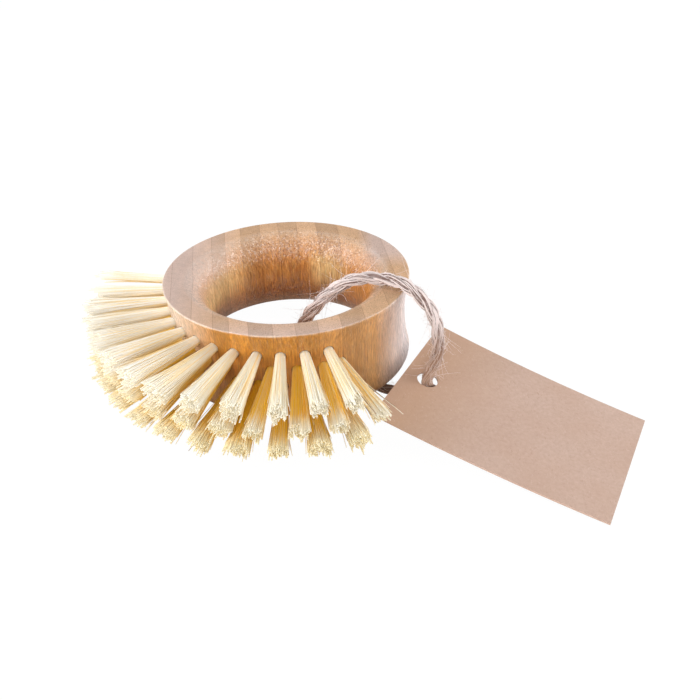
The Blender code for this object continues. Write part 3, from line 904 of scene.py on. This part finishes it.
def add_plies(shape, line, draw, scales, warm):
    """Three plies wound round each other along a line, each of fibres laid the other way."""
    line = np.asarray(line, float)
    _, first, second = lay_frames(line)
    lengths = np.concatenate([[0], np.cumsum(np.linalg.norm(np.diff(line, axis=0), axis=1))])
    scales = np.broadcast_to(scales, len(line))
    warm = np.broadcast_to(warm, len(line))
    for ply in range(3):
        turns = math.tau * (ply / 3 + lengths / LAY_LENGTH)
        offset = (PLY_OFFSET * scales)[:, None] * (
            np.cos(turns)[:, None] * first + np.sin(turns)[:, None] * second
        )
        uneven = sum(math.pow(0.6, k) * np.sin(lengths * draw.uniform(500, 1600) + draw.uniform(0, 6))
                     for k in range(3))
        radii = PLY_RADIUS * scales * (1 + 0.06 * uneven)
        strand = line + offset
        own = lay_frames(strand)
        shape.tube(strand, radii, PLY_SIDES, frames=own, along_mm=lengths * 1000, tone=-0.25, warm=warm)
        for number in range(FIBRES):
            spin = math.tau * number / FIBRES + draw.uniform(-0.15, 0.15)
            drift = draw.uniform(-70, 70)
            angle = spin - lengths * (180 + drift)
            rise = 1.0 + 0.10 * np.sin(lengths * draw.uniform(400, 1500) + draw.uniform(0, 6))
            place = (radii * rise)[:, None] * (
                np.cos(angle)[:, None] * own[1] + np.sin(angle)[:, None] * own[2]
            )
            dark = draw.random() < 0.25
            tone = draw.uniform(0.0, 0.15) if dark else draw.uniform(0.4, 1.0)
            thick = FIBRE_RADIUS * scales * draw.uniform(0.75, 1.15) * (0.8 if dark else 1.0)
            shape.tube(strand + place, thick, FIBRE_SIDES, tone=tone, warm=warm,
                       along_mm=lengths * 1000 + number * 31.0 + ply * 7.0)


def twine_scales(line):
    """The twine is pressed thinner under the ring and is loose and fuller in its free arc."""
    rise = np.clip((line[:, 2] - 0.006) / 0.008, 0.0, 1.0)
    return 0.93 + 0.19 * rise * rise * (3 - 2 * rise)


def twine_warmth(line):
    """Browner near the tag's hole, and darkest under the ring, where it is painted shadow."""
    near = np.clip((0.026 - line[:, 2]) / 0.013, 0.0, 1.0)
    return near + np.clip((0.0075 - line[:, 2]) / 0.003, 0.0, 1.0) * 0.6


def make_twine(look):
    line, length = smooth_route(TWINE_ROUTE, TWINE_POINTS)
    line += np.array(ROUTE_ORIGIN)
    shape = Shape("along_mm", "tone", "warm")
    add_plies(shape, line, random.Random(TWINE_SEED), twine_scales(line), twine_warmth(line))
    twine = shape.finish("twine", look, 70)
    settle(twine, "loop", "jute", "twine_loop")
    return twine, line, length


def make_fuzz(look, line):
    """Loose fibre ends that stand off the twine."""
    draw = random.Random(FUZZ_SEED)
    shape = Shape("along_mm", "tone", "warm")
    along, first, second = lay_frames(line)
    spots = [draw.randrange(4, len(line) - 8) for _ in range(FUZZ_HAIRS)]
    for frayed, count in FRAYED_PLACES:
        gaps = np.linalg.norm(line - np.array(ROUTE_ORIGIN + Vector(frayed)), axis=1)
        middle = int(np.argmin(gaps))
        spots += [middle + round(draw.gauss(0, 6)) for _ in range(count)]
    least, usual, most = FUZZ_REACHES
    for spot in spots:
        turn = draw.uniform(0, math.tau)
        outwards = math.cos(turn) * first[spot] + math.sin(turn) * second[spot]
        sign = draw.choice((-1, 1))
        reach = min(draw.expovariate(1 / usual), most) + least
        lift = draw.uniform(0.2, 0.8)
        swirl = np.cross(along[spot], outwards) * draw.gauss(0, 0.5)
        start = line[spot] + outwards * FUZZ_ROOT
        way = along[spot] * sign + outwards * lift + swirl
        way /= np.linalg.norm(way)
        curl = np.array([draw.gauss(0, 1) for _ in range(3)]) * reach * 0.25
        points = [start + way * reach * t + (outwards * lift * 0.3 * reach + curl) * t * t
                  for t in np.linspace(0, 1, 6)]
        if min(point[2] for point in points) < ON_TABLE:
            continue
        shape.tube(points, np.linspace(*FUZZ_RADII, 6), 3, along_mm=spot * 0.3,
                   tone=draw.uniform(0.7, 1.3), warm=0.0)
    fuzz = shape.finish("twine_fuzz", look, 80)
    settle(fuzz, "loop", "jute")
    return fuzz


def make_knot(look):
    """The knot under the tag: the twine wound over itself, with its two cut tails."""
    draw = random.Random(KNOT_SEED)
    centre = np.array(ROUTE_ORIGIN + KNOT_CENTRE)
    shape = Shape("along_mm", "tone", "warm")
    wraps = []
    for t in np.linspace(0, 1, 90):
        turn = math.tau * KNOT_TURNS * t
        way = (math.cos(turn), math.sin(turn), 0.9 * math.sin(turn * 0.5 + 0.6))
        wraps.append(centre + KNOT_RADIUS * np.array(way))
    add_plies(shape, wraps, draw, KNOT_SCALE, 0.8)
    for angle in TAIL_ANGLES:
        heading = np.array((math.cos(math.radians(angle)), math.sin(math.radians(angle)), 0.0))
        tail = []
        for t in np.linspace(0, 1, 30):
            height = TAIL_DROP * (1 - t) ** 2 + TAIL_LOW
            tail.append(np.array((centre[0], centre[1], height)) + heading * TAIL_LENGTH * t)
        add_plies(shape, tail, draw, TAIL_SCALE, 0.7)
    knot = shape.finish("knot", look, 70)
    settle(knot, "loop", "jute", "twine_knot")
    return knot


# Tag

TAG_CELLS = (68, 50)
TAG_HOLE_SIDES = 64
TAG_SMOOTH_ANGLE = 35


def card_look():
    """Card: pulp, flecks of fibre, and a little browner at the hole's end, which is painted shade."""
    look = Look("card", Roughness=0.75)
    place = look.place()
    pulp = look.noise(place, 0.9, 4.0, 0.65)
    fine = look.noise(place, 5.0, 2.0, 0.6)
    clouds = look.noise(place, 0.07, 2.0)
    flecks = look.noise(look.stretch(place, (1.0, 0.35, 1.0)), 2.4, 1.0, 0.5, 1.5)
    far = look.value("far")
    colour = look.mix(look.spread(pulp, 0.3, 0.7), on_screen(190, 160, 144), on_screen(204, 176, 160))
    # Painted shade: browner towards the hole's end
    colour = look.mix(look.spread(far, 0.0, 0.35, 0.75, 0.0), colour, on_screen(188, 150, 120))
    colour = look.mix(look.spread(clouds, 0.35, 0.65, 0.0, 0.4), colour, on_screen(190, 156, 136))
    colour = look.mix(look.spread(flecks, 0.66, 0.74, 0.0, 0.35), colour, on_screen(160, 124, 102))
    colour = look.mix(look.spread(flecks, 0.26, 0.34, 0.3, 0.0), colour, on_screen(220, 200, 188))
    look.drive("Base Color", colour)
    look.drive("Normal", look.bump(look.math("ADD", pulp, fine), 0.12, 0.0002))
    return look


def tag_height(x, y):
    """The card's sag and twist, measured from its hole."""
    share = (x + TAG_HOLE_INSET) / TAG_LENGTH
    hole_share = TAG_HOLE_INSET / TAG_LENGTH
    sag = TAG_SAG * 4 * (share * (1 - share) - hole_share * (1 - hole_share))
    twist = math.tan(TAG_ROLL) * (share - hole_share) / (1 - hole_share)
    return -sag - twist * y


def make_tag(look):
    form = bmesh.new()
    bmesh.ops.create_grid(form, x_segments=TAG_CELLS[0], y_segments=TAG_CELLS[1], size=1)
    for vert in form.verts:
        x = (vert.co.x + 1) / 2 * TAG_LENGTH - TAG_HOLE_INSET
        y = vert.co.y * TAG_WIDTH / 2 + TAG_HOLE_OFFSET
        vert.co = (x, y, tag_height(x, y))
    mesh = bpy.data.meshes.new("tag")
    form.to_mesh(mesh)
    form.free()
    mesh.materials.append(look.material)
    tag = new_piece("tag", mesh)
    card = tag.modifiers.new("card", "SOLIDIFY")
    card.thickness = TAG_THICKNESS
    card.offset = 0
    hole = bmesh.new()
    bmesh.ops.create_cone(hole, cap_ends=True, segments=TAG_HOLE_SIDES, radius1=TAG_HOLE_DIAMETER / 2,
                          radius2=TAG_HOLE_DIAMETER / 2, depth=2 * CUT_OVERRUN)
    cut(tag, hole, TAG_SMOOTH_ANGLE)
    far = tag.data.attributes.new("far", "FLOAT", "POINT")
    far.data.foreach_set("value", [vert.co.x / TAG_LENGTH for vert in tag.data.vertices])
    tag.data.transform(Matrix.LocRotScale(TAG_HOLE_PLACE, TAG_TURN, None))
    settle(tag, "tag", "card", "swing_tag")
    return tag


# Room

LENS_MM = 43.714
CAMERA_PLACE = Vector((0.011012, -0.231342, 0.120174))  # from the middle of the ring's top face
CAMERA_TURNS = ((-2.367, "Z"), (57.467, "X"), (2.995, "Z"))
FLOOR_REACH = 3.0
FLOOR_WHITE = 0.95
FLOOR_GLOW = 1.02  # what the camera sees in place of the floor
FLOOR_GLOW_SHARE = 0.96
WORLD_LEVEL = 0.42
# Each lamp: its name, its direction from the brush, its distance, size and power
LAMPS = (
    ("right", (0.93, 0.10, 0.33), 0.9, 0.36, 2.7),
    ("left", (-0.86, -0.30, 0.40), 0.9, 0.36, 2.7),
    ("low right", (0.86, 0.42, 0.12), 1.0, 0.60, 4.8),
    ("low left", (-0.90, -0.05, 0.14), 1.0, 0.60, 5.8),
    ("front", (0.05, -0.97, 0.22), 1.2, 1.00, 7.0),
    ("above", (0.10, 0.10, 0.99), 1.4, 2.40, 4.8),
)


def ray_share(tree, *kinds):
    """1 for rays of these kinds and 0 for the others."""
    path = tree.nodes.new("ShaderNodeLightPath")
    share = path.outputs[kinds[0]]
    for kind in kinds[1:]:
        larger = tree.nodes.new("ShaderNodeMath")
        larger.operation = "MAXIMUM"
        tree.links.new(share, larger.inputs[0])
        tree.links.new(path.outputs[kind], larger.inputs[1])
        share = larger.outputs[0]
    return share


def blend_shaders(tree, share, first, second, output):
    blend = tree.nodes.new("ShaderNodeMixShader")
    tree.links.new(share, blend.inputs[0])
    tree.links.new(first.outputs[0], blend.inputs[1])
    tree.links.new(second.outputs[0], blend.inputs[2])
    tree.links.new(blend.outputs[0], output.inputs["Surface"])


def make_camera():
    data = bpy.data.cameras.new("camera")
    data.lens = LENS_MM
    data.clip_start = 0.01
    camera = bpy.data.objects.new("camera", data)
    bpy.context.scene.collection.objects.link(camera)
    turn = Matrix.Identity(4)
    for angle, axis in CAMERA_TURNS:
        turn @= Matrix.Rotation(math.radians(angle), 4, axis)
    camera.matrix_world = Matrix.Translation(RING_TOP + CAMERA_PLACE) @ turn
    bpy.context.scene.camera = camera


def make_floor():
    """A pale floor that keeps the brush's shadow, and is nearly white to the camera."""
    mesh = bpy.data.meshes.new("floor")
    corners = [(FLOOR_REACH * x, FLOOR_REACH * y, 0) for x, y in ((-1, -1), (1, -1), (1, 1), (-1, 1))]
    mesh.from_pydata(corners, [], [(0, 1, 2, 3)])
    floor = new_piece("floor", mesh)
    look = Look("floor", Base_Color=(FLOOR_WHITE, FLOOR_WHITE, FLOOR_WHITE, 1.0), Roughness=0.9,
                Specular_IOR_Level=0.0)
    glow = look.tree.nodes.new("ShaderNodeEmission")
    glow.inputs["Strength"].default_value = FLOOR_GLOW
    share = look.math("MULTIPLY", ray_share(look.tree, "Is Camera Ray"), FLOOR_GLOW_SHARE)
    blend_shaders(look.tree, share, look.shader, glow, look.tree.nodes["Material Output"])
    mesh.materials.append(look.material)


def make_world():
    """An even sky, which the camera and reflections see as white."""
    world = bpy.data.worlds.new("studio")
    bpy.context.scene.world = world
    world.use_nodes = True
    tree = world.node_tree
    back = tree.nodes["Background"]
    back.inputs["Color"].default_value = (1, 1, 1, 1)
    back.inputs["Strength"].default_value = WORLD_LEVEL
    white = tree.nodes.new("ShaderNodeBackground")
    white.inputs["Color"].default_value = (1, 1, 1, 1)
    seen = ray_share(tree, "Is Camera Ray", "Is Glossy Ray", "Is Transmission Ray")
    blend_shaders(tree, seen, back, white, tree.nodes["World Output"])


def make_room():
    make_camera()
    make_floor()
    make_world()
    for name, way, distance, size, power in LAMPS:
        data = bpy.data.lights.new(name, "AREA")
        data.size = size
        data.energy = power
        lamp = bpy.data.objects.new(name, data)
        bpy.context.scene.collection.objects.link(lamp)
        lamp.location = RING_TOP + Vector(way).normalized() * distance
        lamp.rotation_euler = (-Vector(way)).to_track_quat("-Z", "Y").to_euler()
    bpy.context.scene.view_settings.view_transform = "Standard"


def main():
    make_room()
    jute = jute_look()
    twine, line, length = make_twine(jute)
    fuzz = make_fuzz(jute, line)
    knot = make_knot(jute)
    tag = make_tag(card_look())
    tuple(line[0])
    make_ring(bamboo_look())
    make_bristles(fibre_look())


main()
